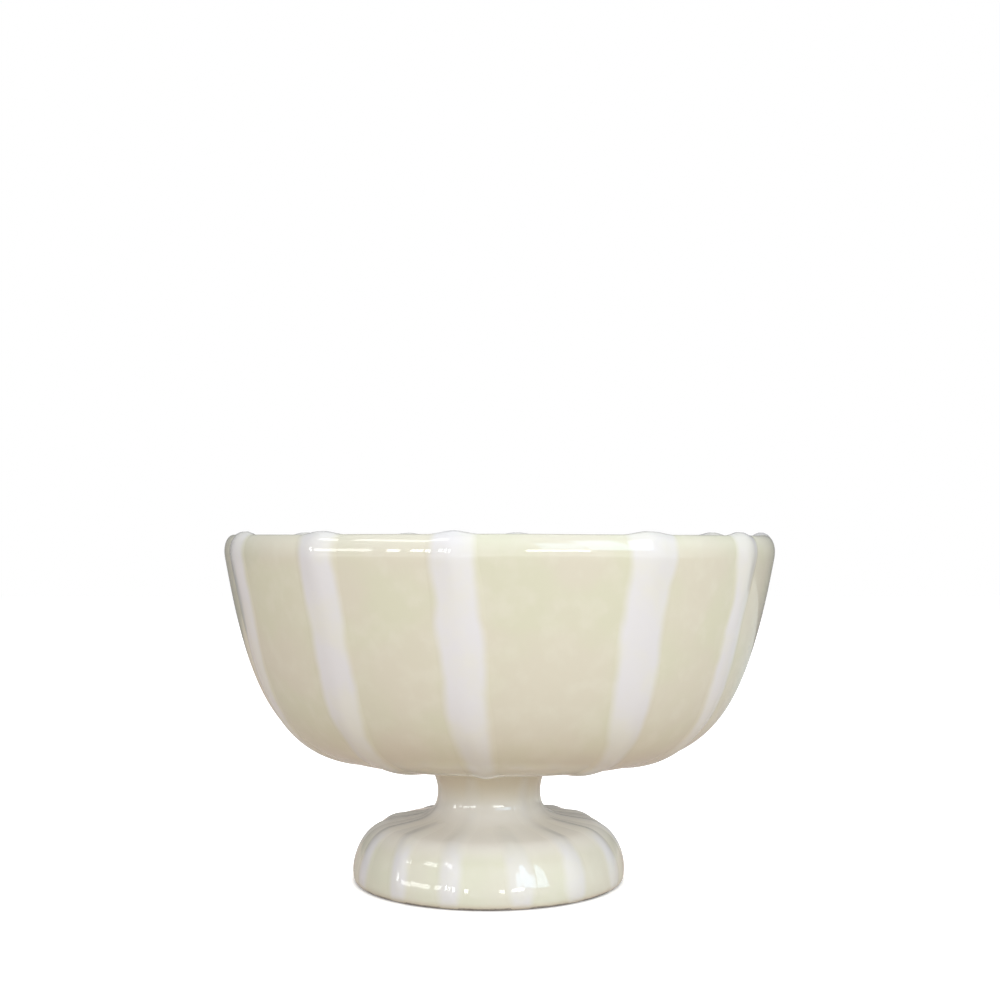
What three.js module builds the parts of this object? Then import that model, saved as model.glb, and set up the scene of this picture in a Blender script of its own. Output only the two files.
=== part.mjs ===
// A footed dessert cup in glazed ceramic: a thrown bowl, luted with slip to a hollow pedestal, and
// raised white glaze bands laid on by hand over the lip, the bowl, the stem and the foot.
// Millimetres, +Z up. The origin is on the bowl's axis, in the plane that the foot stands on.
// Angles round the axis are in degrees from the front (-Y), growing toward the right (+X).
import * as THREE from "three";

// Pedestal, from the standing plane up
const RING_INSIDE_RADIUS = 24.5; // standing ring, inner edge
const RING_OUTSIDE_RADIUS = 28.8; // standing ring, outer edge
const FOOT_RADIUS = 30.9; // the foot at its widest
const FOOT_WIDEST_HEIGHT = 2.5;
const SHOULDER_RADIUS = 23.2; // where the foot's top turns over into its side
const SHOULDER_HEIGHT = 12.7;
const SIDE_ROUND = 4.8; // how far the side stays upright before it turns over
const SHOULDER_ROUND = 5.2; // how far the top stays straight before it turns over
const FOOT_TOP_SLOPE = 12; // degrees, falling outward
const FLARE_REACH = 7; // how far the foot's top runs in before it sweeps up
const FLARE_RISE = 4.6; // how far the sweep climbs before it is upright
const STEM_HEIGHT = 13.2; // shoulder height up to the head of the pedestal
const WAIST_RADIUS = 11.6;
const WAIST_DROP = 6.3; // head down to the waist
const HEAD_RADIUS = 13.2;
const HEAD_ROUND = 1.5; // sweep of the head's edge
const FOOT_WALL = 4.8; // clay over the hollow, at the shoulder
const HOLLOW_ROOF_RADIUS = 17; // where the hollow's roof turns down into its side
const BORE_RADIUS = 5.5; // the hollow where it runs up the stem
const HEAD_THICKNESS = 6.5; // solid clay left under the head
const PEDESTAL_OFFSET = -2.5; // the pedestal is luted on by eye, this far off the bowl's axis in X

// Slip joint
const SLIP_THICKNESS = 0.8;
const SLIP_BEAD = 0.8; // how far the smoothed bead spreads over the bowl's seat

// Bowl, from its seat up
const SEAT_MARGIN = 0.5; // seat left outside the slip bead on its wider side
const UNDERSIDE_RADIUS = 31; // where the straight underside ends and the belly begins
const UNDERSIDE_RISE = 5.2; // degrees, rising outward
const BELLY_REACH = 20.2; // pull of the belly's curve along the underside
const WALL_REACH = 29.5; // pull of the belly's curve down the wall
const BOWL_RADIUS = 62.35; // outside of the wall, where the lip begins to round
const BOWL_DEPTH = 46.8; // seat up to the same place
const WALL_DRAFT = 10.7; // degrees off upright, at the lip
const LIP_WALL = 5.2;
const LIP_RISE = 4.6; // height of the lip's rounding
const FLOOR_WALL = 5.6;

// Bands
const BAND_CLEARANCE = 0.2; // between the clay and the underside of a band
const BAND_THICKNESS = 0.5;
const BAND_CROWN = 0.55; // share of a band's width that is at full thickness
const BAND_TIP = 4; // length of the rounded ends
const BAND_TIP_CLOSING = 0.75; // how far the ends close in, from 0 for square to 1 for a point
const BAND_WAVER = 0.07; // share by which the width of a band wavers
const BAND_WANDER = 0.6; // how far the middle of a band strays
const BAND_WAVELENGTH = 46; // of the middle's straying
const BAND_WAVER_RATE = 1.7; // wavers of the width for each wave of the middle
const BOWL_BAND_WIDTH = 10; // at the lip, before each band's own share
const BOWL_BAND_INSIDE = 9; // how far a band reaches down inside the lip
const BOWL_BAND_SEAT_GAP = 3; // from the seat's edge to the end of a band
const BOWL_BAND_TAPER = 1.6; // power of the radius by which the bands narrow
const FOOT_BAND_WIDTH = 4.8; // on the side of the foot
const FOOT_BAND_TAPER = 0.35;
const FOOT_BAND_BASE_GAP = 2; // from the standing ring to the end of a band, along the surface
const FOOT_BAND_HEAD_GAP = 1.2; // from the head's edge to the other end
const FOOT_BAND_SHORT_GAP = 13; // the same for every other band, which ends on the flare

// The bands are spaced by eye. On the bowl: angle at the lip, drift in degrees by the time the band is
// down at the seat's height, and share of the full width. On the foot: angle at the base, and drift by
// the time the band is up at the shoulder.
const BOWL_BANDS = [
  [-63.2, -3.5, 0.94],
  [-35.3, -0.6, 0.94],
  [-8.4, 4.4, 0.94],
  [28.3, 1.8, 1.04],
  [55, 1.5, 0.82],
  [90, 1, 0.96],
  [118, -1, 1],
  [140.5, -1, 0.94],
  [175.5, 2, 0.98],
  [204, -2, 1.02],
  [235, 1.5, 0.96],
  [265, -1, 1],
];
const FOOT_BANDS = [
  [-64, -4],
  [-38.6, -7],
  [-15, -3],
  [13.5, -2],
  [38, 2],
  [64, 3],
  [91, -2],
  [117, 2],
  [142, -3],
  [168, 2],
  [193, 1],
  [218, -2],
  [244, 3],
  [269.5, -1],
];

// Facets
const BOWL_SIDES = 64;
const PEDESTAL_SIDES = 48;
const CURVE_STEPS = 5;
const BELLY_STEPS = 13;
const LIP_STEPS = 8;
const FLOOR_STEPS = 3;
const STATION_GAP = 0.9; // least spacing of the rings of points that a band is lofted through

// Heights and radii that follow
const waistHeight = SHOULDER_HEIGHT + STEM_HEIGHT - WAIST_DROP;
const headHeight = SHOULDER_HEIGHT + STEM_HEIGHT;
const seatHeight = headHeight + SLIP_THICKNESS;
const seatRadius = HEAD_RADIUS + SLIP_BEAD + Math.abs(PEDESTAL_OFFSET) + SEAT_MARGIN;
const lipStartHeight = seatHeight + BOWL_DEPTH;
const roofHeight = SHOULDER_HEIGHT - FOOT_WALL;
const boreTopHeight = headHeight - HEAD_THICKNESS;

const creamGlaze = new THREE.MeshStandardMaterial({ color: 0xdbd7be, roughness: 0.15, metalness: 0 });
const whiteGlaze = new THREE.MeshStandardMaterial({ color: 0xe5e3e4, roughness: 0.18, metalness: 0 });
const slipGlaze = new THREE.MeshStandardMaterial({ color: 0xcfc8ab, roughness: 0.2, metalness: 0 });

// A point this far from another, in a direction given in degrees from the horizontal.
function along(point, degrees, distance) {
  const angle = THREE.MathUtils.degToRad(degrees);
  return new THREE.Vector2(Math.cos(angle), Math.sin(angle)).multiplyScalar(distance).add(point);
}

// A solid of revolution about Z, from an outline of radius and height that closes on the axis.
function turned(outline, sides) {
  return new THREE.LatheGeometry(outline, sides).rotateX(Math.PI / 2);
}

// A surface line, as corner points of radius and height, measured by its length from the first point.
// Its outside is on the right of the direction of travel.
class SurfaceLine {
  constructor(points) {
    this.points = points;
    this.lengths = [0];
    for (let i = 1; i < points.length; i++) {
      this.lengths.push(this.lengths[i - 1] + points[i].distanceTo(points[i - 1]));
    }
    this.length = this.lengths[points.length - 1];
  }

  at(length) {
    let i = 1;
    while (i < this.points.length - 1 && this.lengths[i] < length) i++;
    const share = (length - this.lengths[i - 1]) / (this.lengths[i] - this.lengths[i - 1]);
    return this.points[i - 1].clone().lerp(this.points[i], share);
  }

  normal(length) {
    const step = 0.01;
    const travel = this.at(length + step).sub(this.at(length - step)).normalize();
    return new THREE.Vector2(travel.y, -travel.x);
  }

  // The corners between two lengths, with a rounded tip's stations at both ends where no corner is near.
  stations(from, to) {
    const corners = this.lengths.filter((l) => l > from + STATION_GAP && l < to - STATION_GAP);
    const tips = [BAND_TIP / 3, BAND_TIP].flatMap((t) => [from + t, to - t]);
    const clear = tips.filter((t) => corners.every((c) => Math.abs(c - t) > STATION_GAP));
    return [from, ...corners, ...clear, to].sort((a, b) => a - b);
  }
}

// A closed solid through rings of points, all in the same order, with flat ends.
function lofted(rings) {
  const count = rings[0].length;
  const index = [];
  for (let s = 0; s + 1 < rings.length; s++) {
    for (let i = 0; i < count; i++) {
      const a = s * count + i;
      const b = s * count + ((i + 1) % count);
      index.push(a, b, b + count, a, b + count, a + count);
    }
  }
  const last = (rings.length - 1) * count;
  for (let i = 1; i + 1 < count; i++) {
    index.push(0, i + 1, i, last, last + i, last + i + 1);
  }
  const geometry = new THREE.BufferGeometry().setFromPoints(rings.flat());
  geometry.setIndex(index);
  geometry.computeVertexNormals();
  return geometry;
}

// A raised band on a turned surface, from one length along its surface line to another. The angle and
// the width are functions of the place on the line, and the seed shifts the brush's waver.
function band(line, from, to, angleAt, widthAt, seed) {
  const section = [[0, 0], [-1, 0], [-BAND_CROWN, 1], [BAND_CROWN, 1], [1, 0]];
  const rings = line.stations(from, to).map((length) => {
    const place = line.at(length);
    const normal = line.normal(length);
    const end = Math.min(length - from, to - length);
    const tip = Math.sqrt(1 - BAND_TIP_CLOSING * Math.max(0, 1 - end / BAND_TIP) ** 2);
    const phase = (2 * Math.PI * length) / BAND_WAVELENGTH + seed;
    const waver = 1 + BAND_WAVER * Math.sin(BAND_WAVER_RATE * phase);
    const halfWidth = (widthAt(place) / 2) * waver * tip;
    const middle = angleAt(place) + (BAND_WANDER * Math.sin(phase)) / place.x;
    return section.map(([across, up]) => {
      const height = BAND_CLEARANCE + up * BAND_THICKNESS * tip;
      const angle = middle + (across * halfWidth) / place.x;
      const radius = place.x + height * normal.x;
      const z = place.y + height * normal.y;
      return new THREE.Vector3(radius * Math.sin(angle), -radius * Math.cos(angle), z);
    });
  });
  return lofted(rings);
}

function piece(name, geometry, material) {
  const mesh = new THREE.Mesh(geometry, material);
  mesh.name = name;
  return mesh;
}

function numbered(name, index) {
  return `${name}_${String(index + 1).padStart(2, "0")}`;
}

// Pedestal: the hollow from the top of its bore down to the standing ring
const hollow = new THREE.Path();
hollow.moveTo(0, boreTopHeight);
hollow.quadraticCurveTo(BORE_RADIUS, boreTopHeight, BORE_RADIUS, boreTopHeight - BORE_RADIUS);
const roofEdge = new THREE.Vector2(HOLLOW_ROOF_RADIUS, roofHeight);
const roofIn = along(roofEdge, 180 - FOOT_TOP_SLOPE, FLARE_REACH);
const roofOut = along(roofEdge, -FOOT_TOP_SLOPE, SHOULDER_ROUND);
hollow.bezierCurveTo(BORE_RADIUS, roofHeight + FLARE_RISE / 2, roofIn.x, roofIn.y, roofEdge.x, roofEdge.y);
hollow.bezierCurveTo(roofOut.x, roofOut.y, RING_INSIDE_RADIUS, SIDE_ROUND, RING_INSIDE_RADIUS, 0);

// Pedestal: the outside from the standing ring up to the head
const outside = new THREE.Path();
outside.moveTo(RING_OUTSIDE_RADIUS, 0);
outside.quadraticCurveTo(FOOT_RADIUS, 0, FOOT_RADIUS, FOOT_WIDEST_HEIGHT);
const shoulder = new THREE.Vector2(SHOULDER_RADIUS, SHOULDER_HEIGHT);
const shoulderOut = along(shoulder, -FOOT_TOP_SLOPE, SHOULDER_ROUND);
const shoulderIn = along(shoulder, 180 - FOOT_TOP_SLOPE, FLARE_REACH);
outside.bezierCurveTo(
  FOOT_RADIUS,
  FOOT_WIDEST_HEIGHT + SIDE_ROUND,
  shoulderOut.x,
  shoulderOut.y,
  shoulder.x,
  shoulder.y,
);
outside.bezierCurveTo(
  shoulderIn.x,
  shoulderIn.y,
  WAIST_RADIUS,
  waistHeight - FLARE_RISE,
  WAIST_RADIUS,
  waistHeight,
);
outside.bezierCurveTo(
  WAIST_RADIUS,
  waistHeight + WAIST_DROP / 2,
  HEAD_RADIUS - HEAD_ROUND,
  headHeight - HEAD_ROUND,
  HEAD_RADIUS,
  headHeight,
);
const pedestalSkin = outside.getPoints(CURVE_STEPS);
const pedestalOutline = [
  ...hollow.getPoints(CURVE_STEPS),
  ...pedestalSkin,
  new THREE.Vector2(0, headHeight),
];

// Slip: a disc between the head and the seat, with its bead drawn out over the seat
const slip = new THREE.Path();
slip.moveTo(0, headHeight);
slip.lineTo(HEAD_RADIUS, headHeight);
slip.quadraticCurveTo(HEAD_RADIUS, seatHeight, HEAD_RADIUS + SLIP_BEAD, seatHeight);
slip.lineTo(0, seatHeight);

// Bowl: the outside from the seat's edge to the lip, then the lip's rounding
const underside = new THREE.Path();
const seatEdge = new THREE.Vector2(seatRadius, seatHeight);
const slant = (UNDERSIDE_RADIUS - seatRadius) / Math.cos(THREE.MathUtils.degToRad(UNDERSIDE_RISE));
const bellyStart = along(seatEdge, UNDERSIDE_RISE, slant);
const bellyPull = along(bellyStart, UNDERSIDE_RISE, BELLY_REACH);
const lipStart = new THREE.Vector2(BOWL_RADIUS, lipStartHeight);
const wallPull = along(lipStart, -90 - WALL_DRAFT, WALL_REACH);
underside.moveTo(seatEdge.x, seatEdge.y);
underside.lineTo(bellyStart.x, bellyStart.y);
underside.bezierCurveTo(bellyPull.x, bellyPull.y, wallPull.x, wallPull.y, lipStart.x, lipStart.y);
const bowlOutside = new SurfaceLine(underside.getPoints(BELLY_STEPS));

const lipMiddle = along(lipStart, 180 - WALL_DRAFT, LIP_WALL / 2);
const lipTilt = -THREE.MathUtils.degToRad(WALL_DRAFT);
const lip = new THREE.EllipseCurve(
  lipMiddle.x,
  lipMiddle.y,
  LIP_WALL / 2,
  LIP_RISE,
  0,
  Math.PI,
  false,
  lipTilt,
);
const lipPoints = lip.getPoints(LIP_STEPS);

// Bowl: the inside is the outside moved in by a wall that thickens toward the floor, and the floor is
// dished to level at the axis
const bowlInside = [...bowlOutside.lengths].reverse().map((length) => {
  const wall = THREE.MathUtils.lerp(FLOOR_WALL, LIP_WALL, length / bowlOutside.length);
  return bowlOutside.at(length).addScaledVector(bowlOutside.normal(length), -wall);
});
const floorEdge = bowlInside[bowlInside.length - 1];
const floorMiddle = along(floorEdge, 180 + UNDERSIDE_RISE, floorEdge.x / 2);
const floorCentre = new THREE.Vector2(0, floorMiddle.y);
const floorDish = new THREE.QuadraticBezierCurve(floorEdge, floorMiddle, floorCentre);

const bowlSkin = [...bowlOutside.points, ...lipPoints.slice(1, -1), ...bowlInside];
const bowlOutline = [
  new THREE.Vector2(0, seatHeight),
  ...bowlSkin,
  ...floorDish.getPoints(FLOOR_STEPS).slice(1),
];

const cup = new THREE.Group();
cup.add(piece("bowl", turned(bowlOutline, BOWL_SIDES), creamGlaze));

// Bands on the bowl, from its underside over the lip to the inside
const bowlLine = new SurfaceLine(bowlSkin);
const lipLength = new SurfaceLine(lipPoints).length;
const bowlBandEnd = bowlOutside.length + lipLength + BOWL_BAND_INSIDE;
BOWL_BANDS.forEach(([angle, drift, share], index) => {
  const fall = (place) => (lipStartHeight - place.y) / BOWL_DEPTH;
  const angleAt = (place) => THREE.MathUtils.degToRad(angle + drift * fall(place));
  const widthAt = (place) => BOWL_BAND_WIDTH * share * (place.x / BOWL_RADIUS) ** BOWL_BAND_TAPER;
  const shape = band(bowlLine, BOWL_BAND_SEAT_GAP, bowlBandEnd, angleAt, widthAt, angle);
  cup.add(piece(numbered("bowl_band", index), shape, whiteGlaze));
});

// Pedestal, slip and the foot's bands, which share the pedestal's axis
const stand = new THREE.Group();
stand.position.x = PEDESTAL_OFFSET;
stand.add(piece("pedestal", turned(pedestalOutline, PEDESTAL_SIDES), creamGlaze));
stand.add(piece("luting_slip", turned(slip.getPoints(CURVE_STEPS), PEDESTAL_SIDES), slipGlaze));

const pedestalLine = new SurfaceLine(pedestalSkin);
const footOverhang = FOOT_RADIUS - SHOULDER_RADIUS;
FOOT_BANDS.forEach(([angle, drift], index) => {
  const footBandEnd = pedestalLine.length - (index % 2 ? FOOT_BAND_SHORT_GAP : FOOT_BAND_HEAD_GAP);
  const climb = (place) => Math.min(1, (FOOT_RADIUS - place.x) / footOverhang);
  const angleAt = (place) => THREE.MathUtils.degToRad(angle + drift * climb(place));
  const widthAt = (place) => FOOT_BAND_WIDTH * (place.x / FOOT_RADIUS) ** FOOT_BAND_TAPER;
  const shape = band(pedestalLine, FOOT_BAND_BASE_GAP, footBandEnd, angleAt, widthAt, angle);
  stand.add(piece(numbered("foot_band", index), shape, whiteGlaze));
});
cup.add(stand);

export default cup;
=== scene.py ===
import math
from bisect import bisect_right

import bpy
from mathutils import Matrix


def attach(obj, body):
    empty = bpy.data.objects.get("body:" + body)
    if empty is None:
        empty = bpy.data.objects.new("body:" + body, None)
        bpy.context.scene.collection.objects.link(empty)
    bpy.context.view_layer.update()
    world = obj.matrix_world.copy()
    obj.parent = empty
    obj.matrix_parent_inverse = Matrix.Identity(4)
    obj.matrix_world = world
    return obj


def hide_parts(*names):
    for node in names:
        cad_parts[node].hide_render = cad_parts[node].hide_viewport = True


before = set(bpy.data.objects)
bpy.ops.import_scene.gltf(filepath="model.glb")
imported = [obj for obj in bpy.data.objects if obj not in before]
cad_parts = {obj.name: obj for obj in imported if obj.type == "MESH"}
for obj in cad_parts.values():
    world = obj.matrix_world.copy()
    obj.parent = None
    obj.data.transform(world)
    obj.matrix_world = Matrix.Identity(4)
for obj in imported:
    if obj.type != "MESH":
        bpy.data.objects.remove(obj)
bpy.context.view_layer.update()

# Pedestal: the stem and foot, thrown upside down as one hollow piece of pale clay, then turned to a
# waisted stem and a domed foot. It is dipped in the cream glaze, which is wiped off the ring that the
# cup stands on.
MM = 0.001
PEDESTAL_AXIS = -2.5  # luted on by eye, this far off the bowl's axis
RING_INSIDE = 24.5
RING_OUTSIDE = 29.2
RING_ROUND = 0.7
FOOT_RADIUS = 30.9
FOOT_WIDEST_HEIGHT = 1.8
FOOT_SHOULDER = (23.2, 12.7)
FOOT_TOP_SLOPE = 12
FOOT_SIDE_ROUND = 4.1
FOOT_SHOULDER_ROUND = 5.2
FLARE_REACH = 7
FLARE_RISE = 6.2
STEM_WAIST = (11.6, 19.9)
WAIST_RISE = 2.2
STEM_HEAD = (13.2, 25.9)
HEAD_REACH = 2.6
HEAD_LEAN = 20
HOLLOW_ROOF = (17, 7.9)
BORE_RADIUS = 5.5
BORE_TOP = 19.4
BORE_STEPS = 10  # steps of each bend in the outline, from the bore round to the head
ROOF_STEPS = 18
RING_STEPS = 4
EDGE_STEPS = 12
SIDE_STEPS = 30
FLARE_STEPS = 34
STEM_STEPS = 20
WHEEL_SIDES = 192
MERGE_REACH = 0.01
CLAY_CREASE = 50  # degrees of a bend, above which an edge looks crisp


def bend(points, steps):
    """The points of a smooth bend between its first and last control points, without the first one."""
    order = len(points) - 1
    made = []
    for step in range(1, steps + 1):
        t = step / steps
        pull = [math.comb(order, i) * t**i * (1 - t) ** (order - i) for i in range(order + 1)]
        made.append(tuple(sum(w * p[k] for w, p in zip(pull, points)) for k in (0, 1)))
    return made


def beyond(point, degrees, distance):
    """A point this far from another, in a direction given in degrees above outward."""
    angle = math.radians(degrees)
    return point[0] + distance * math.cos(angle), point[1] + distance * math.sin(angle)


def thrown(name, outline, axis):
    """A piece thrown on the wheel: half its outline drawn point by point, then spun about its axis."""
    bpy.ops.object.select_all(action="DESELECT")
    bpy.ops.mesh.primitive_plane_add(size=MM)
    piece = bpy.context.object
    piece.name = piece.data.name = name
    bpy.ops.object.mode_set(mode="EDIT")
    bpy.ops.mesh.merge(type="CENTER")
    radius, height = outline[0]
    bpy.ops.transform.translate(value=((axis + radius) * MM, 0, height * MM))
    for (r0, z0), (r1, z1) in zip(outline, outline[1:]):
        step = ((r1 - r0) * MM, 0, (z1 - z0) * MM)
        bpy.ops.mesh.extrude_region_move(TRANSFORM_OT_translate={"value": step})
    bpy.ops.mesh.select_all(action="SELECT")
    turn = {"steps": WHEEL_SIDES, "angle": math.tau, "center": (axis * MM, 0, 0), "axis": (0, 0, 1)}
    bpy.ops.mesh.spin(**turn)
    bpy.ops.mesh.select_all(action="SELECT")
    bpy.ops.mesh.remove_doubles(threshold=MERGE_REACH * MM)
    bpy.ops.mesh.normals_make_consistent(inside=False)
    bpy.ops.object.mode_set(mode="OBJECT")
    return piece


HAND_STRENGTH = 0.7
HAND_SPAN = 55  # from one swell to the next
HAND_HEIGHT = 6  # full strength from here up

hand = bpy.data.textures.new("unevenness_of_the_hand", "CLOUDS")
hand.cloud_type = "COLOR"
hand.noise_scale = HAND_SPAN * MM
hand.noise_depth = 1


def handled(piece):
    """The slight unevenness that hands leave, the same field for the clay and for what lies on it.

    It dies away toward the standing ring, which was rubbed level.
    """
    levels = piece.vertex_groups.new(name="above_the_ring")
    for vertex in piece.data.vertices:
        level = vertex.co.z / (HAND_HEIGHT * MM)
        levels.add([vertex.index], min(max(level, 0), 1), "REPLACE")
    uneven = piece.modifiers.new("handled", "DISPLACE")
    uneven.vertex_group = levels.name
    uneven.texture = hand
    uneven.texture_coords = "LOCAL"
    uneven.direction = "RGB_TO_XYZ"
    uneven.mid_level = 0.5
    uneven.strength = HAND_STRENGTH * MM
    bpy.ops.object.modifier_apply(modifier=uneven.name)


def shade(r, g, b):
    """A colour as it looks on screen, 0 to 255, as the renderer's linear colour."""
    levels = [c / 255 for c in (r, g, b)]
    return (*[c / 12.92 if c <= 0.04045 else ((c + 0.055) / 1.055) ** 2.4 for c in levels], 1)


def node(tree, kind, inputs=(), **settings):
    """A shader node with its settings, and its inputs joined to other sockets or set to values."""
    made = tree.nodes.new(kind)
    for setting, value in settings.items():
        setattr(made, setting, value)
    for socket, value in dict(inputs).items():
        if isinstance(value, bpy.types.NodeSocket):
            tree.links.new(value, made.inputs[socket])
        else:
            made.inputs[socket].default_value = value
    return made


def blended(tree, share, first, second):
    """A colour between two others."""
    mix = node(tree, "ShaderNodeMix", {0: share, 6: first, 7: second}, data_type="RGBA")
    return mix.outputs[2]


def ranged(tree, value, low, high, to_low=0.0, to_high=1.0):
    """A value carried smoothly from one range to another."""
    inputs = {"Value": value, 1: low, 2: high, 3: to_low, 4: to_high}
    return node(tree, "ShaderNodeMapRange", inputs, interpolation_type="SMOOTHSTEP").outputs[0]


def noise(tree, place, scale, detail=2.0, roughness=0.5):
    """Soft clouding, with its scale in clouds to the metre."""
    inputs = {"Vector": place, "Scale": scale, "Detail": detail, "Roughness": roughness}
    return node(tree, "ShaderNodeTexNoise", inputs).outputs[0]


def maths(tree, operation, *values):
    """One sum on two or three values."""
    return node(tree, "ShaderNodeMath", enumerate(values), operation=operation).outputs[0]


def here(tree):
    """The place of a point on the surface, in the object's own frame."""
    return node(tree, "ShaderNodeTexCoord").outputs["Object"]


def part_of(tree, vector, axis):
    """One of the three parts of a vector, such as the height of a place."""
    return node(tree, "ShaderNodeSeparateXYZ", {0: vector}).outputs[axis]


def glaze_group(name, inputs, outputs):
    """An empty shader group with its named sockets, and its two end nodes."""
    group = bpy.data.node_groups.new(name, "ShaderNodeTree")
    for direction, sockets in (("INPUT", inputs), ("OUTPUT", outputs)):
        for socket, kind in sockets:
            group.interface.new_socket(socket, in_out=direction, socket_type=kind)
    return group, node(group, "NodeGroupInput"), node(group, "NodeGroupOutput")


# Cream glaze, as it clouds from greenish to pinkish, thins to pale, pools to a deeper colour that also
# serves as painted shade, and turns milky where white glaze has run into it
CREAM_GREEN = shade(216, 216, 194)
CREAM_PINK = shade(218, 214, 197)
CREAM_LIGHT = shade(223, 221, 205)
CREAM_THIN = shade(231, 235, 226)
# deeper pooled colour, also used as painted shade under the bowl and by the foot
CREAM_POOLED_AND_SHADED = shade(222, 204, 179)
CREAM_MILKY = shade(240, 238, 234)
CREAM_CLOUDS = 62  # to the metre, as are the next four
CREAM_WASHES = 210
CREAM_SWELLS = 85
CREAM_PEEL = 900
GLOSS_CLOUDS = 140
NOISE_MIDDLE = (0.36, 0.64)  # within these lies most of a noise
NOISE_BULK = (0.3, 0.7)
WASH_RANGE = (0.42, 0.74)
WASH_STRENGTH = 0.55
PEEL_SHARE = 0.03  # of the height of the swells
GLOSS_ROUGHNESS = (0.03, 0.06)

cream_group, cream_in, cream_out = glaze_group(
    "cream_glaze",
    [("Thinning", "NodeSocketFloat"), ("Pooling", "NodeSocketFloat"), ("Milkiness", "NodeSocketFloat")],
    [("Color", "NodeSocketColor"), ("Roughness", "NodeSocketFloat"), ("Height", "NodeSocketFloat")],
)
cream_place = here(cream_group)
cream_clouds = ranged(cream_group, noise(cream_group, cream_place, CREAM_CLOUDS), *NOISE_MIDDLE)
cream_wash = noise(cream_group, cream_place, CREAM_WASHES, detail=3.0)
cream_wash = ranged(cream_group, cream_wash, *WASH_RANGE, 0.0, WASH_STRENGTH)
cream_tone = blended(cream_group, cream_clouds, CREAM_GREEN, CREAM_PINK)
cream_tone = blended(cream_group, cream_wash, cream_tone, CREAM_LIGHT)
cream_tone = blended(cream_group, cream_in.outputs["Thinning"], cream_tone, CREAM_THIN)
cream_tone = blended(cream_group, cream_in.outputs["Pooling"], cream_tone, CREAM_POOLED_AND_SHADED)
cream_tone = blended(cream_group, cream_in.outputs["Milkiness"], cream_tone, CREAM_MILKY)
cream_swell = noise(cream_group, cream_place, CREAM_SWELLS, detail=1.0)
cream_peel = noise(cream_group, cream_place, CREAM_PEEL, detail=1.0)
cream_height = maths(cream_group, "MULTIPLY_ADD", cream_peel, PEEL_SHARE, cream_swell)
cream_gloss = noise(cream_group, cream_place, GLOSS_CLOUDS)
cream_gloss = ranged(cream_group, cream_gloss, *NOISE_BULK, *GLOSS_ROUGHNESS)
cream_group.links.new(cream_tone, cream_out.inputs["Color"])
cream_group.links.new(cream_gloss, cream_out.inputs["Roughness"])
cream_group.links.new(cream_height, cream_out.inputs["Height"])

GLAZE_IOR = 1.5
GLAZE_RIPPLE = 0.05


def glazed(name):
    """A material with a glossy shader and nothing joined to it yet, its node tree and that shader."""
    material = bpy.data.materials.new(name)
    material.use_nodes = True
    tree = material.node_tree
    shader = tree.nodes["Principled BSDF"]
    shader.inputs["IOR"].default_value = GLAZE_IOR
    return material, tree, shader


def coat(tree, shader, tone, gloss, height):
    """The glaze on its shader: its colour, its roughness and the ripples that it set in."""
    ripples = {"Height": height, "Strength": 1.0, "Distance": GLAZE_RIPPLE * MM}
    bump = node(tree, "ShaderNodeBump", ripples).outputs[0]
    for socket, value in (("Base Color", tone), ("Roughness", gloss), ("Normal", bump)):
        tree.links.new(value, shader.inputs[socket])


# Bare clay of the standing ring, made darker and greyer than bare clay so that it also paints the contact
# shadow under the foot
SHADED_BISQUE_PALE = shade(184, 179, 170)
SHADED_BISQUE_DARK = shade(160, 155, 147)
BISQUE_ROUGHNESS = 0.85
BISQUE_GROG = 1400  # specks to the metre
GROG_RANGE = (0.35, 0.65)
WIPED_HEIGHT = 0.6
WIPED_EDGE = (0.75, 1.0)  # heights, with its straying, between which the glaze begins
WIPED_STRAY = 0.5
WIPED_CLOUDS = 320
FOOT_THINNING = 0.3
FLARE_MILKINESS = 0.95
FLARE_MILKY_FROM = 9
FLARE_MILKY_TO = 13
STEM_MILKY_FROM = 24
STEM_MILKY_TO = 15
# Painted shade: the head of the stem under the bowl and the base just above the standing ring take the
# deeper pooled colour.
STEM_PAINTED_SHADE = 0.55
BASE_PAINTED_SHADE = 0.28


def foot_run(tree, height):
    """How the cream ran on the pedestal: thin on the side, milky on the flare, and deeper in colour at both
    ends, which is painted shade at the head of the stem under the bowl and at the base just above the
    standing ring.
    """
    flare = ranged(tree, height, FLARE_MILKY_FROM * MM, FLARE_MILKY_TO * MM, 0.0, FLARE_MILKINESS)
    head = ranged(tree, height, STEM_MILKY_TO * MM, STEM_MILKY_FROM * MM)
    milkiness = maths(tree, "MULTIPLY", flare, maths(tree, "SUBTRACT", 1.0, head))
    base = ranged(tree, height, WIPED_HEIGHT * MM, FOOT_WIDEST_HEIGHT * MM, BASE_PAINTED_SHADE, 0.0)
    pooling_and_shade = maths(tree, "ADD", base, maths(tree, "MULTIPLY", head, STEM_PAINTED_SHADE))
    return {"Thinning": FOOT_THINNING, "Pooling": pooling_and_shade, "Milkiness": milkiness}


pedestal_glaze, tree, shader = glazed("cream_glazed_pedestal")
place = here(tree)
height = part_of(tree, place, "Z")
wiping = maths(tree, "MULTIPLY_ADD", noise(tree, place, WIPED_CLOUDS), WIPED_STRAY * MM, height)
wiped = ranged(tree, wiping, WIPED_EDGE[0] * MM, WIPED_EDGE[1] * MM, 1.0, 0.0)
cream = node(tree, "ShaderNodeGroup", foot_run(tree, height), node_tree=cream_group)
grog = noise(tree, place, BISQUE_GROG, detail=4.0, roughness=0.7)
shaded_bisque = blended(tree, ranged(tree, grog, *GROG_RANGE), SHADED_BISQUE_DARK, SHADED_BISQUE_PALE)
tone = blended(tree, wiped, cream.outputs["Color"], shaded_bisque)
dry = node(tree, "ShaderNodeMix", {0: wiped, 2: cream.outputs["Roughness"], 3: BISQUE_ROUGHNESS})
coat(tree, shader, tone, dry.outputs[0], cream.outputs["Height"])

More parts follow.
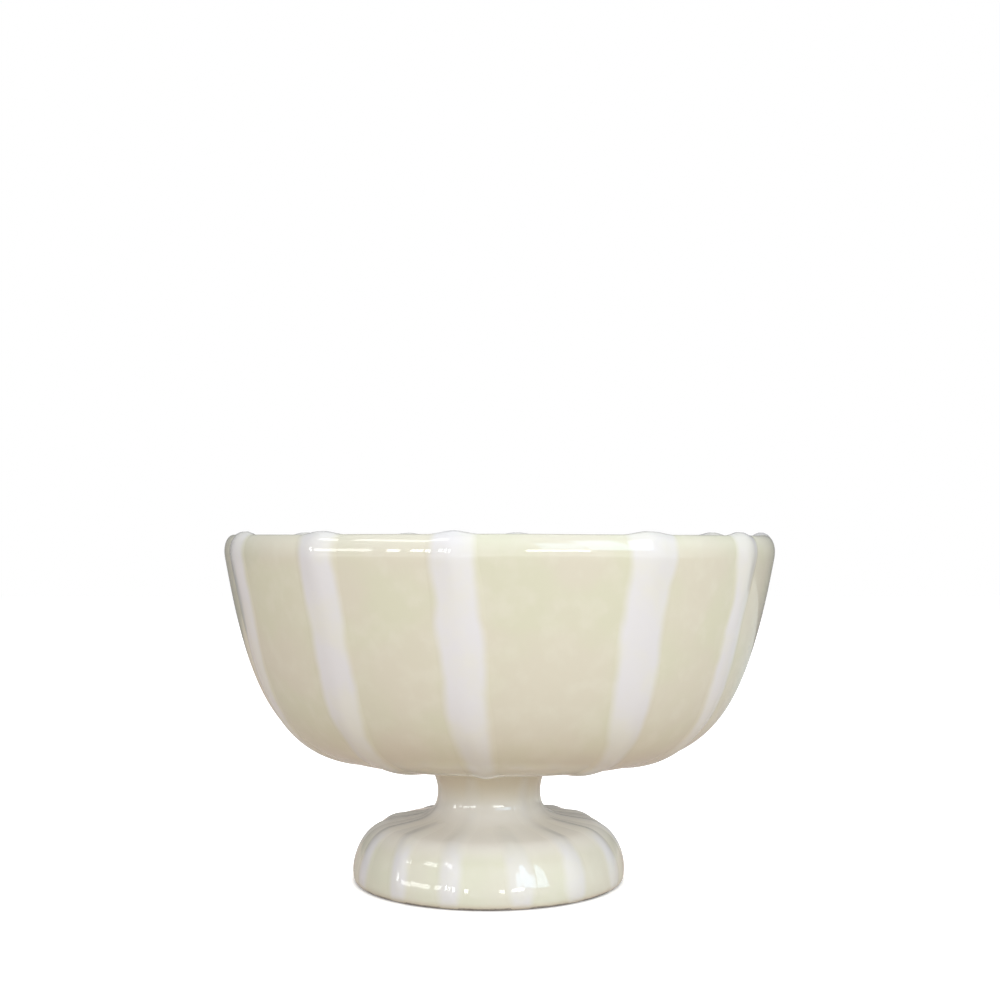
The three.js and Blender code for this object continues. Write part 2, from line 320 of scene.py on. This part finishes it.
roof_in = beyond(HOLLOW_ROOF, 180 - FOOT_TOP_SLOPE, FLARE_REACH)
roof_out = beyond(HOLLOW_ROOF, -FOOT_TOP_SLOPE, FOOT_SHOULDER_ROUND)
bore_side = (BORE_RADIUS, BORE_TOP - BORE_RADIUS)
bore_mouth = (BORE_RADIUS, HOLLOW_ROOF[1] + FLARE_RISE / 2)
ring_side = (RING_INSIDE, RING_ROUND)
hollow = [(0, BORE_TOP)]
hollow += bend([(0, BORE_TOP), (BORE_RADIUS, BORE_TOP), bore_side], BORE_STEPS)
hollow += bend([bore_side, bore_mouth, roof_in, HOLLOW_ROOF], ROOF_STEPS)
hollow += bend([HOLLOW_ROOF, roof_out, (RING_INSIDE, FOOT_SIDE_ROUND), ring_side], ROOF_STEPS)
hollow += bend([ring_side, (RING_INSIDE, 0), (RING_INSIDE + RING_ROUND, 0)], RING_STEPS)

shoulder_out = beyond(FOOT_SHOULDER, -FOOT_TOP_SLOPE, FOOT_SHOULDER_ROUND)
shoulder_in = beyond(FOOT_SHOULDER, 180 - FOOT_TOP_SLOPE, FLARE_REACH)
widest = (FOOT_RADIUS, FOOT_WIDEST_HEIGHT)
side_top = (FOOT_RADIUS, FOOT_WIDEST_HEIGHT + FOOT_SIDE_ROUND)
flare_top = (STEM_WAIST[0], STEM_WAIST[1] - FLARE_RISE)
waist_top = (STEM_WAIST[0], STEM_WAIST[1] + WAIST_RISE)
head_low = beyond(STEM_HEAD, -90 - HEAD_LEAN, HEAD_REACH)
pedestal_skin = [(RING_OUTSIDE, 0)]
pedestal_skin += bend([(RING_OUTSIDE, 0), (FOOT_RADIUS, 0), widest], EDGE_STEPS)
pedestal_skin += bend([widest, side_top, shoulder_out, FOOT_SHOULDER], SIDE_STEPS)
pedestal_skin += bend([FOOT_SHOULDER, shoulder_in, flare_top, STEM_WAIST], FLARE_STEPS)
pedestal_skin += bend([STEM_WAIST, waist_top, head_low, STEM_HEAD], STEM_STEPS)

pedestal = thrown("glazed_pedestal", [*hollow, *pedestal_skin, (0, STEM_HEAD[1])], PEDESTAL_AXIS)
handled(pedestal)
bpy.ops.object.shade_smooth_by_angle(angle=math.radians(CLAY_CREASE))
pedestal.data.materials.append(pedestal_glaze)
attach(pedestal, "root")
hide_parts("pedestal")

# Slip joint: a disc of liquid clay that luted the pedestal's head to the bowl's seat. What squeezed out
# was smoothed with a finger into a hollow fillet, where the glaze gathers; its deeper colour there is also
# painted shade under the bowl.
SLIP_FOOT = (12.8, 24.9)
SLIP_EDGE = (15.4, 26.75)
SLIP_PULL = (13.35, 26.2)
SLIP_BEDDED = 0.15  # above its edge, into the bowl's seat
SLIP_STEPS = 14
SLIP_CREASE = 40
SLIP_POOLING_AND_SHADE = 0.35

slip_glaze, tree, shader = glazed("cream_glazed_slip")
cream = node(tree, "ShaderNodeGroup", {"Pooling": SLIP_POOLING_AND_SHADE}, node_tree=cream_group)
coat(tree, shader, *cream.outputs)

slip_top = SLIP_EDGE[1] + SLIP_BEDDED
slip_outline = [(0, SLIP_FOOT[1]), SLIP_FOOT, *bend([SLIP_FOOT, SLIP_PULL, SLIP_EDGE], SLIP_STEPS)]
slip_outline += [(SLIP_EDGE[0], slip_top), (0, slip_top)]
slip = thrown("smoothed_slip_joint", slip_outline, PEDESTAL_AXIS)
handled(slip)
bpy.ops.object.shade_smooth_by_angle(angle=math.radians(SLIP_CREASE))
slip.data.materials.append(slip_glaze)
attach(slip, "root")
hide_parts("luting_slip")

# Bowl: thrown in pale clay, with a nearly flat underside, a round belly, a wall that leans out a little
# and a thick rounded lip, then dipped in the cream glaze, which runs thin over the lip and gathers under
# the belly, where its deeper colour on the down-facing surfaces is also painted shade.
SEAT_RADIUS = 17
SEAT_HEIGHT = 26.7
UNDERSIDE_RADIUS = 31
UNDERSIDE_RISE = 5.2
BELLY_REACH = 20.2
WALL_REACH = 29.5
BOWL_LIP = (62.35, 73.5)
WALL_DRAFT = 10.7
LIP_WALL = 5.2
LIP_RISE = 4.6
FLOOR_WALL = 5.6
UNDERSIDE_STEPS = 10
BELLY_STEPS = 90
LIP_STEPS = 36
INSIDE_STEPS = 60
DISH_STEPS = 14
LIP_THIN_FROM = 73.2
LIP_THIN_TO = 77.5
LIP_THINNING = 0.2
# Painted shade: the down-facing belly takes the deeper pooled colour, more of it lower down, partly as
# gathered glaze and partly as shade.
BELLY_POOL_AND_SHADE_FROM = 44
BELLY_POOL_AND_SHADE_TO = 29
BELLY_POOLING_AND_SHADE = 0.35
BELLY_OVERHANG = -0.2  # upward part of the normal, from which a wall counts as overhanging


def bowl_run(tree, height):
    """How the cream ran on the bowl: thin over the lip, and gathered under the belly, with painted shade
    there on the down-facing surfaces.
    """
    thinning = ranged(tree, height, LIP_THIN_FROM * MM, LIP_THIN_TO * MM, 0.0, LIP_THINNING)
    low = ranged(tree, height, BELLY_POOL_AND_SHADE_TO * MM, BELLY_POOL_AND_SHADE_FROM * MM, BELLY_POOLING_AND_SHADE, 0.0)
    normal = node(tree, "ShaderNodeTexCoord").outputs["Normal"]
    under = ranged(tree, part_of(tree, normal, "Z"), BELLY_OVERHANG, 0.0, 1.0, 0.0)
    return {"Thinning": thinning, "Pooling": maths(tree, "MULTIPLY", low, under)}


bowl_glaze, tree, shader = glazed("cream_glazed_bowl")
height = part_of(tree, here(tree), "Z")
cream = node(tree, "ShaderNodeGroup", bowl_run(tree, height), node_tree=cream_group)
coat(tree, shader, *cream.outputs)

seat_edge = (SEAT_RADIUS, SEAT_HEIGHT)
slant = (UNDERSIDE_RADIUS - SEAT_RADIUS) / math.cos(math.radians(UNDERSIDE_RISE))
belly_start = beyond(seat_edge, UNDERSIDE_RISE, slant)
belly_pull = beyond(belly_start, UNDERSIDE_RISE, BELLY_REACH)
wall_pull = beyond(BOWL_LIP, -90 - WALL_DRAFT, WALL_REACH)
bowl_outside = [
    beyond(seat_edge, UNDERSIDE_RISE, slant * step / UNDERSIDE_STEPS) for step in range(UNDERSIDE_STEPS + 1)
]
bowl_outside += bend([belly_start, belly_pull, wall_pull, BOWL_LIP], BELLY_STEPS)

lip_middle = beyond(BOWL_LIP, 180 - WALL_DRAFT, LIP_WALL / 2)
lip_round = []
for step in range(1, LIP_STEPS):
    turn = math.pi * step / LIP_STEPS
    out = beyond(lip_middle, -WALL_DRAFT, LIP_WALL / 2 * math.cos(turn))
    lip_round.append(beyond(out, 90 - WALL_DRAFT, LIP_RISE * math.sin(turn)))


def measured(line):
    """A surface line with the length run up to each of its points."""
    run = [0.0]
    for first, second in zip(line, line[1:]):
        run.append(run[-1] + math.dist(first, second))
    return line, run


def spot(surface, length):
    """The point of a surface line at a length along it."""
    line, run = surface
    i = min(max(bisect_right(run, length), 1), len(run) - 1)
    share = (length - run[i - 1]) / (run[i] - run[i - 1])
    return tuple(a + (b - a) * share for a, b in zip(line[i - 1], line[i]))


def facing(surface, length):
    """The outward direction of a surface line at a length along it."""
    reach = 0.25
    (r0, z0), (r1, z1) = spot(surface, length - reach), spot(surface, length + reach)
    size = math.hypot(r1 - r0, z1 - z0)
    return (z1 - z0) / size, (r0 - r1) / size


outside_measured = measured(bowl_outside)
outside_length = outside_measured[1][-1]
bowl_inside = []
for step in range(INSIDE_STEPS, -1, -1):
    length = outside_length * step / INSIDE_STEPS
    wall = FLOOR_WALL + (LIP_WALL - FLOOR_WALL) * step / INSIDE_STEPS
    (radius, level), (out, up) = spot(outside_measured, length), facing(outside_measured, length)
    bowl_inside.append((radius - wall * out, level - wall * up))
floor_middle = beyond(bowl_inside[-1], 180 + UNDERSIDE_RISE, bowl_inside[-1][0] / 2)
dish = bend([bowl_inside[-1], floor_middle, (0, floor_middle[1])], DISH_STEPS)
bowl_skin = [*bowl_outside, *lip_round, *bowl_inside]

bowl = thrown("glazed_bowl", [(0, SEAT_HEIGHT), *bowl_skin, *dish], 0)
handled(bowl)
bpy.ops.object.shade_smooth_by_angle(angle=math.radians(CLAY_CREASE))
bowl.data.materials.append(bowl_glaze)
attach(bowl, "root")
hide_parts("bowl")

# Bands on the bowl: twelve strokes of thick white glaze, laid over the lip with a loaded brush and drawn
# down to the underside. They stand proud of the cream, and bleed into it at their edges in the firing.
BAND_MARGIN = 1.0  # the bled edge, outside the white
BAND_SUNK = 0.06  # how deep its outermost edge has sunk into the cream
BAND_EDGE = 0.4  # how wide that edge is
BAND_BODY = 0.35
BAND_TIP = 4
BAND_BLUNTNESS = 2.4
BAND_CLOSING = 0.995  # how far its ends close in, just short of a point
BAND_CREASE = 60
BAND_WAVER = 0.2
BAND_SLOW_WAVE = 4.6  # length for each radian of the waver of its edges
BAND_QUICK_WAVE = 2.1
BAND_QUICK_SHARE = 0.5
BAND_COLUMNS = 20
BAND_ROWS = 136
BOWL_BAND_SEAT_GAP = 3
BOWL_BAND_INSIDE = 9
BOWL_BAND_SEED = 1.9  # so that no two waver alike
BOWL_BAND_PLACES = (0, 9, 19, 30, 40, 76)  # lengths from the lip down, where each stroke is given
BOWL_BAND_LOADS = (1, 1, 1, 0.95, 0.6, 0.35)  # how thick the white still lies there
BOWL_BAND_RELIEFS = (0.72, 0.42, 0.32, 0.36, 0.55, 0.4)
BOWL_STROKES = (  # middles in degrees from the front to the right, then widths
    ((-63.2, -62.8, -63.8, -65.4, -66.4, -66.5), (10, 9.4, 7.8, 8.2, 6.4, 2.8)),
    ((-35.4, -35.1, -34.9, -35.7, -35.8, -35.5), (9.6, 9.6, 9.4, 9.2, 7.0, 2.6)),
    ((-8.4, -7.6, -6.9, -6.8, -5.4, -4), (9.2, 9.2, 9.4, 8.8, 7.0, 2.6)),
    ((28.9, 28.2, 28.0, 29.3, 29.8, 30), (11, 10.2, 10.2, 9.5, 6.8, 2.8)),
    ((55, 55.2, 55.2, 56.2, 56.6, 56), (9.2, 7.4, 7.6, 7.6, 6.0, 2.8)),
    ((90, 90.8, 91.5, 91, 90, 90), (10.2, 9.6, 9.4, 8.2, 6.0, 2.6)),
    ((118, 118.7, 118.3, 117.5, 117.3, 118), (10, 9.8, 9.2, 8.6, 6.4, 2.8)),
    ((140.5, 140, 139.4, 140, 140.6, 140), (9.4, 9.6, 9.0, 8.0, 5.8, 2.4)),
    ((175.5, 176, 176.8, 177.2, 176.6, 177), (9.8, 9.4, 9.8, 8.4, 6.2, 2.7)),
    ((204, 203.4, 202.8, 202.4, 203, 202), (10.4, 10, 9.4, 8.6, 6.6, 2.8)),
    ((235, 235.6, 236.2, 236, 236.4, 236), (9.6, 9.2, 9.3, 8.0, 5.9, 2.5)),
    ((265, 264.6, 264, 263.6, 264.2, 264), (10, 10.3, 9.5, 8.7, 6.3, 2.7)),
)

WHITE_COOL = shade(226, 226, 229)
WHITE_WARM = shade(228, 228, 223)
WHITE_CLOUDS = 95  # to the metre
BLEED_CLOUDS = 90
BLEED_STRAY = 0.4
BLEED_EDGE = (-0.7, 1.5)  # distances inside its edge, over which the white grows dense

white_group, white_in, white_out = glaze_group(
    "white_glaze",
    [("Edge Distance", "NodeSocketFloat"), ("Load", "NodeSocketFloat")],
    [("Color", "NodeSocketColor"), ("Cover", "NodeSocketFloat")],
)
white_place = here(white_group)
bleed = noise(white_group, white_place, BLEED_CLOUDS)
bleed = ranged(white_group, bleed, *NOISE_BULK, -BLEED_STRAY, BLEED_STRAY)
bled_edge = maths(white_group, "ADD", white_in.outputs["Edge Distance"], bleed)
dense = ranged(white_group, bled_edge, *BLEED_EDGE)
covered = maths(white_group, "MULTIPLY", dense, white_in.outputs["Load"])
white_group.links.new(covered, white_out.inputs["Cover"])
white_clouds = noise(white_group, white_place, WHITE_CLOUDS, detail=3.0)
white_clouds = ranged(white_group, white_clouds, *NOISE_MIDDLE)
white_tone = blended(white_group, white_clouds, WHITE_COOL, WHITE_WARM)
white_group.links.new(white_tone, white_out.inputs["Color"])


def brushed(name, run):
    """The white glaze of a stroke over the cream, which ran there as the given function says."""
    material, tree, shader = glazed(name)
    edge = node(tree, "ShaderNodeAttribute", attribute_name="edge_distance").outputs["Fac"]
    load = node(tree, "ShaderNodeAttribute", attribute_name="brush_load").outputs["Fac"]
    white = node(tree, "ShaderNodeGroup", {"Edge Distance": edge, "Load": load}, node_tree=white_group)
    height = part_of(tree, here(tree), "Z")
    cream = node(tree, "ShaderNodeGroup", run(tree, height), node_tree=cream_group)
    tone = blended(tree, white.outputs["Cover"], cream.outputs["Color"], white.outputs["Color"])
    coat(tree, shader, tone, cream.outputs["Roughness"], cream.outputs["Height"])
    return material


bowl_band_glaze = brushed("white_bowl_band_glaze", bowl_run)

bpy.ops.object.select_all(action="DESELECT")
bpy.ops.mesh.primitive_grid_add(x_subdivisions=BAND_COLUMNS, y_subdivisions=BAND_ROWS, size=2)
flat_stroke = bpy.context.object


def eased(table, places, at):
    """A value read from a short table of them, on a smooth line through its entries."""
    i = min(max(bisect_right(places, at), 1), len(places) - 1)
    t = min(max((at - places[i - 1]) / (places[i] - places[i - 1]), 0), 1)
    before, after = table[max(i - 2, 0)], table[min(i + 1, len(table) - 1)]
    first, second = table[i - 1], table[i]
    lead = (second - before) / 2
    trail = (after - first) / 2
    return (
        first * (1 + 2 * t) * (1 - t) ** 2
        + lead * t * (1 - t) ** 2
        + second * t * t * (3 - 2 * t)
        - trail * t * t * (1 - t)
    )


def stroke(name, surface, start, end, axis, laid, seed, glaze):
    """One stroke of white glaze: the flat stroke copied, laid along a surface and raised to its crown.

    The function laid gives its middle in degrees, width, load and relief at a length and radius.
    """
    bpy.ops.object.select_all(action="DESELECT")
    flat_stroke.select_set(True)
    bpy.context.view_layer.objects.active = flat_stroke
    bpy.ops.object.duplicate()
    band = bpy.context.object
    band.name = band.data.name = name
    edges = band.data.attributes.new("edge_distance", "FLOAT", "POINT")
    loads = band.data.attributes.new("brush_load", "FLOAT", "POINT")
    for vertex in band.data.vertices:
        across, along = vertex.co.x, (vertex.co.y + 1) / 2
        length = start - BAND_MARGIN + (end - start + 2 * BAND_MARGIN) * along
        (radius, level), (out, up) = spot(surface, length), facing(surface, length)
        middle, width, load, relief = laid(length, radius)
        to_end = min(length - start, end - length) + BAND_MARGIN
        closing = max(0, 1 - to_end / (BAND_TIP + BAND_MARGIN)) ** BAND_BLUNTNESS
        tip = (1 - BAND_CLOSING * closing) ** (1 / BAND_BLUNTNESS)
        side = math.copysign(1, across)
        waver = math.sin(length / BAND_SLOW_WAVE + seed * side)
        waver += BAND_QUICK_SHARE * math.sin(length / BAND_QUICK_WAVE + 2 * seed + side)
        half = (width / 2 + BAND_MARGIN + BAND_WAVER * waver * abs(across)) * tip
        to_edge = min(half * (1 - abs(across)), to_end)
        rise = min(to_edge / (width / 2 + BAND_MARGIN), 1)
        lift = relief * rise * rise * (3 - 2 * rise) - BAND_SUNK * max(1 - to_edge / BAND_EDGE, 0)
        angle = math.radians(middle) + across * half / radius
        reach = radius + lift * out
        x, y = reach * math.sin(angle), -reach * math.cos(angle)
        vertex.co = ((axis + x) * MM, y * MM, (level + lift * up) * MM)
        edges.data[vertex.index].value = to_edge - BAND_MARGIN
        loads.data[vertex.index].value = load
    body = band.modifiers.new("body", "SOLIDIFY")
    body.thickness = BAND_BODY * MM
    body.offset = -1
    bpy.ops.object.modifier_apply(modifier=body.name)
    handled(band)
    bpy.ops.object.shade_smooth_by_angle(angle=math.radians(BAND_CREASE))
    band.data.materials.append(glaze)
    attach(band, "root")
    return band


def down_the_bowl(middles, widths):
    """How a stroke on the bowl is laid, as a function that stroke can call."""
    tables = (middles, widths, BOWL_BAND_LOADS, BOWL_BAND_RELIEFS)

    def laid(length, radius):
        return [eased(table, BOWL_BAND_PLACES, max(outside_length - length, 0)) for table in tables]

    return laid


bowl_surface = measured(bowl_skin)
over_lip = measured([bowl_outside[-1], *lip_round, bowl_inside[0]])[1][-1]
bowl_band_end = outside_length + over_lip + BOWL_BAND_INSIDE
for number, (middles, widths) in enumerate(BOWL_STROKES, start=1):
    name = f"white_bowl_band_{number:02d}"
    laid = down_the_bowl(middles, widths)
    seed = number * BOWL_BAND_SEED
    band = stroke(name, bowl_surface, BOWL_BAND_SEAT_GAP, bowl_band_end, 0, laid, seed, bowl_band_glaze)
    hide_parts(f"bowl_band_{number:02d}")

# Bands on the foot: fourteen shorter strokes of the same white glaze, brushed up from the base. Every
# other one runs on up the stem to the slip joint, and those between end on the flare.
FOOT_STROKES = (  # degrees at the base, then by how much a stroke has turned at the shoulder
    (-64, -4),
    (-38.6, -7),
    (-15, -3),
    (13.5, -2),
    (38, 2),
    (64, 3),
    (91, -2),
    (117, 2),
    (142, -3),
    (168, 2),
    (193, 1),
    (218, -2),
    (244, 3),
    (269.5, -1),
)
FOOT_BAND_BASE_GAP = 1.6
FOOT_BAND_HEAD_GAP = 1.2
FOOT_BAND_SHORT_GAP = 13
FOOT_BAND_SEED = 1.3
FOOT_BAND_PLACES = (0, 6, 12, 17, 24, 40)  # lengths up from the standing ring
FOOT_BAND_WIDTHS = (5.8, 5.6, 5.0, 4.4, 3.6, 3.2)
FOOT_BAND_LOADS = (1, 1, 1, 0.6, 0.3, 0.3)
FOOT_BAND_RELIEFS = (0.15, 0.25, 0.36, 0.34, 0.2, 0.2)

foot_band_glaze = brushed("white_foot_band_glaze", foot_run)


def up_the_foot(base, turned):
    """How a stroke on the foot is laid, as a function that stroke can call."""
    tables = (FOOT_BAND_WIDTHS, FOOT_BAND_LOADS, FOOT_BAND_RELIEFS)

    def laid(length, radius):
        climbed = min((FOOT_RADIUS - radius) / (FOOT_RADIUS - FOOT_SHOULDER[0]), 1)
        return [base + turned * climbed, *(eased(table, FOOT_BAND_PLACES, length) for table in tables)]

    return laid


foot_surface = measured(pedestal_skin)
foot_length = foot_surface[1][-1]
for number, (base, turned) in enumerate(FOOT_STROKES, start=1):
    name = f"white_foot_band_{number:02d}"
    laid = up_the_foot(base, turned)
    top = foot_length - (FOOT_BAND_HEAD_GAP if number % 2 else FOOT_BAND_SHORT_GAP)
    seed = number * FOOT_BAND_SEED
    band = stroke(name, foot_surface, FOOT_BAND_BASE_GAP, top, PEDESTAL_AXIS, laid, seed, foot_band_glaze)
    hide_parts(f"foot_band_{number:02d}")
bpy.data.objects.remove(flat_stroke)

# Floor: a plain pale studio floor, white to the eye and in reflections, with a painted shadow close round
# the foot, where its glow fades.
# The light that it throws back up under the bowl is warm and dim, as from a table top. It is clear from
# below and open under the foot, so that the hollow can be looked into.
FLOOR_SIZE = 3.0
FLOOR_WHITE = (0.94, 0.94, 0.94, 1)
FLOOR_BOUNCE = (0.6, 0.52, 0.46, 1)
FLOOR_GLOW = 0.58
FLOOR_SHADED = 32  # radius round the foot, within which it glows less, as a painted contact shadow


def bare_material(name):
    """A material with only its output node, and its node tree."""
    material = bpy.data.materials.new(name)
    material.use_nodes = True
    tree = material.node_tree
    tree.nodes.remove(tree.nodes["Principled BSDF"])
    return material, tree


def seen_by(tree):
    """One for a ray that shows a thing straight, mirrored or through glass, and nought for any other."""
    rays = node(tree, "ShaderNodeLightPath").outputs
    seen = maths(tree, "MAXIMUM", rays["Is Camera Ray"], rays["Is Glossy Ray"])
    return maths(tree, "MAXIMUM", seen, rays["Is Transmission Ray"])


def away(tree, place, point):
    """The distance of a place from a point."""
    return node(tree, "ShaderNodeVectorMath", {0: place, 1: point}, operation="DISTANCE").outputs["Value"]


bpy.ops.object.select_all(action="DESELECT")
bpy.ops.mesh.primitive_plane_add(size=FLOOR_SIZE)
floor = bpy.context.object
floor.name = floor.data.name = "studio_floor"
floor_paint, tree = bare_material("studio_floor_paint")
white_paint = node(tree, "ShaderNodeBsdfDiffuse", {"Color": FLOOR_WHITE})
from_foot = away(tree, here(tree), (PEDESTAL_AXIS * MM, 0, 0))
glowing = ranged(tree, from_foot, RING_OUTSIDE * MM, FLOOR_SHADED * MM, 0.0, FLOOR_GLOW)
glow = node(tree, "ShaderNodeEmission", {"Strength": glowing})
white_paint = node(tree, "ShaderNodeAddShader", {0: white_paint.outputs[0], 1: glow.outputs[0]})
warm_paint = node(tree, "ShaderNodeBsdfDiffuse", {"Color": FLOOR_BOUNCE})
paints = {0: seen_by(tree), 1: warm_paint.outputs[0], 2: white_paint.outputs[0]}
paint = node(tree, "ShaderNodeMixShader", paints)
below = node(tree, "ShaderNodeNewGeometry").outputs["Backfacing"]
open_floor = maths(tree, "MAXIMUM", below, maths(tree, "LESS_THAN", from_foot, RING_OUTSIDE * MM))
clear = node(tree, "ShaderNodeBsdfTransparent")
paint = node(tree, "ShaderNodeMixShader", {0: open_floor, 1: paint.outputs[0], 2: clear.outputs[0]})
tree.links.new(paint.outputs[0], tree.nodes["Material Output"].inputs["Surface"])
floor.data.materials.append(floor_paint)

# Studio light: an even white surround, large soft lights that wrap round the front, and fills from above
# and behind. The window at the front right, with its bright sill and two panes, and the spots and strips
# at the front left are only there for the glaze to mirror.
SURROUND_LIGHT = 0.43
WHITE = (1, 1, 1, 1)

world = bpy.data.worlds.new("studio_surround")
bpy.context.scene.world = world
world.use_nodes = True
tree = world.node_tree
tree.nodes.remove(tree.nodes["Background"])
lit = node(tree, "ShaderNodeBackground", {"Color": WHITE, "Strength": SURROUND_LIGHT})
white_back = node(tree, "ShaderNodeBackground", {"Color": WHITE, "Strength": 1.0})
backs = {0: seen_by(tree), 1: lit.outputs[0], 2: white_back.outputs[0]}
surround = node(tree, "ShaderNodeMixShader", backs)
tree.links.new(surround.outputs[0], tree.nodes["World Output"].inputs["Surface"])

DAYLIGHT = (0.6, 0.88, 1.2)
SKYLIGHT = (0.94, 1, 1.02)
LAMP_DISTANCE = 0.9
LAMP_AIM = 0.045  # height that the lamps face


def softbox(name, azimuth, elevation, wide, high, brightness, tint=(1, 1, 1)):
    """A softbox that faces the cup, from degrees to the right of the front and above level.

    Its width and height are in degrees too, as seen from the cup.
    """
    turn, lift = math.radians(azimuth), math.radians(elevation)
    flat = LAMP_DISTANCE * math.cos(lift)
    spot_at = (flat * math.sin(turn), -flat * math.cos(turn), LAMP_AIM + LAMP_DISTANCE * math.sin(lift))
    bpy.ops.object.light_add(type="AREA", location=spot_at, rotation=(math.pi / 2 - lift, 0, turn))
    lamp = bpy.context.object
    lamp.name = lamp.data.name = name
    lamp.data.shape = "RECTANGLE"
    lamp.data.size = 2 * LAMP_DISTANCE * math.tan(math.radians(wide / 2))
    lamp.data.size_y = 2 * LAMP_DISTANCE * math.tan(math.radians(high / 2))
    lamp.data.color = tint
    lamp.data.energy = brightness * math.pi * lamp.data.size * lamp.data.size_y
    return lamp


fills = [
    softbox("left_wing", -38, 14, 50, 30, 1.42),
    softbox("right_wing", 46, 20, 60, 30, 2.4, SKYLIGHT),
    softbox("high_front", 0, 35, 36, 30, 1.85),
    softbox("low_front", 0, 12, 40, 14, 1.0),
    softbox("overhead", 0, 90, 44, 44, 0.8),
    softbox("back_fill", 180, 35, 60, 36, 1.6),
]
for fill in fills:
    fill.visible_glossy = False
glints = [
    softbox("window_sill", 22, 7, 26, 6, 11),
    softbox("left_pane", 24, 23, 18, 22, 3.6, DAYLIGHT),
    softbox("right_pane", 43, 28, 17, 38, 4.2, DAYLIGHT),
    softbox("left_spot_near", -20, 8, 6, 8, 11),
    softbox("left_spot_middle", -31, 8, 5, 8, 11),
    softbox("left_spot_far", -40, 8, 5, 8, 11),
    softbox("left_strip", -58, 8, 18, 7, 6),
    softbox("left_spot_side", -80, 9, 7, 9, 11),
    softbox("left_strip_high", -50, 46, 30, 11, 5),
]
for glint in glints:
    glint.visible_diffuse = False

# Tent and table cloth: a grey tent behind and beside the cup and a warm cloth under it, both glowing, with
# a patch of daylight painted on the cloth at the back right. Only the glaze sees them. It mirrors them
# toward its edges and low on the belly, where white would wash out its colour.
TENT_RADIUS = 0.45
TENT_HEIGHT = 0.7
TENT_GREY = 0.25
TENT_SIDES = 96
TENT_DRAWN = 0.15  # from here back it is closed
TENT_OPEN = -0.2  # from here forward it is open
CLOTH_HEIGHT = 0.0002
CLOTH_WARM = (0.55, 0.48, 0.43, 1)
# painted patch of daylight on the glowing cloth
CLOTH_PAINTED_DAYLIGHT = (0.64, 0.68, 0.66, 1)
PAINTED_DAYLIGHT_PLACE = (0.3, 0.3, 0)  # middle of the painted patch of daylight
PAINTED_DAYLIGHT_FULL = 0.15
PAINTED_DAYLIGHT_REACH = 0.36

tent_cloth, tree = bare_material("grey_tent")
grey = node(tree, "ShaderNodeEmission", {"Strength": TENT_GREY})
opening = node(tree, "ShaderNodeBsdfTransparent")
drawn = ranged(tree, part_of(tree, here(tree), "Y"), TENT_OPEN, TENT_DRAWN)
cloth = node(tree, "ShaderNodeMixShader", {0: drawn, 1: opening.outputs[0], 2: grey.outputs[0]})
tree.links.new(cloth.outputs[0], tree.nodes["Material Output"].inputs["Surface"])

table_cloth, tree = bare_material("warm_table_cloth")
warmth = ranged(tree, away(tree, here(tree), PAINTED_DAYLIGHT_PLACE), PAINTED_DAYLIGHT_FULL, PAINTED_DAYLIGHT_REACH)
warm = node(tree, "ShaderNodeEmission", {"Color": blended(tree, warmth, CLOTH_PAINTED_DAYLIGHT, CLOTH_WARM)})
tree.links.new(warm.outputs[0], tree.nodes["Material Output"].inputs["Surface"])

bpy.ops.object.select_all(action="DESELECT")
tent_form = {"vertices": TENT_SIDES, "radius": TENT_RADIUS}
bpy.ops.mesh.primitive_cylinder_add(**tent_form, depth=TENT_HEIGHT, end_fill_type="NOTHING")
tent = bpy.context.object
bpy.ops.transform.translate(value=(0, 0, TENT_HEIGHT / 2))
bpy.ops.mesh.primitive_circle_add(**tent_form, fill_type="NGON", location=(0, 0, CLOTH_HEIGHT))
table = bpy.context.object
for prop, name, material in ((tent, "grey_tent", tent_cloth), (table, "warm_table_cloth", table_cloth)):
    prop.name = prop.data.name = name
    prop.data.materials.append(material)
    prop.visible_camera = prop.visible_diffuse = prop.visible_shadow = False

# Camera: level with the lip, about two and a half times the cup's width away, and tipped up a little, so
# that the cup stands low in the frame.
CAMERA_PLACE = (0.12, -333.3, 78.5)
CAMERA_TIP = 1.389
CAMERA_LENS = 51.96
CAMERA_SENSOR = 36
CAMERA_NEAR = 10

bpy.ops.object.camera_add(location=[c * MM for c in CAMERA_PLACE])
camera = bpy.context.object
camera.rotation_euler = (math.radians(90 + CAMERA_TIP), 0, 0)
camera.data.lens = CAMERA_LENS
camera.data.sensor_width = CAMERA_SENSOR
camera.data.clip_start = CAMERA_NEAR * MM
bpy.context.scene.camera = camera
bpy.context.scene.view_settings.view_transform = "Standard"
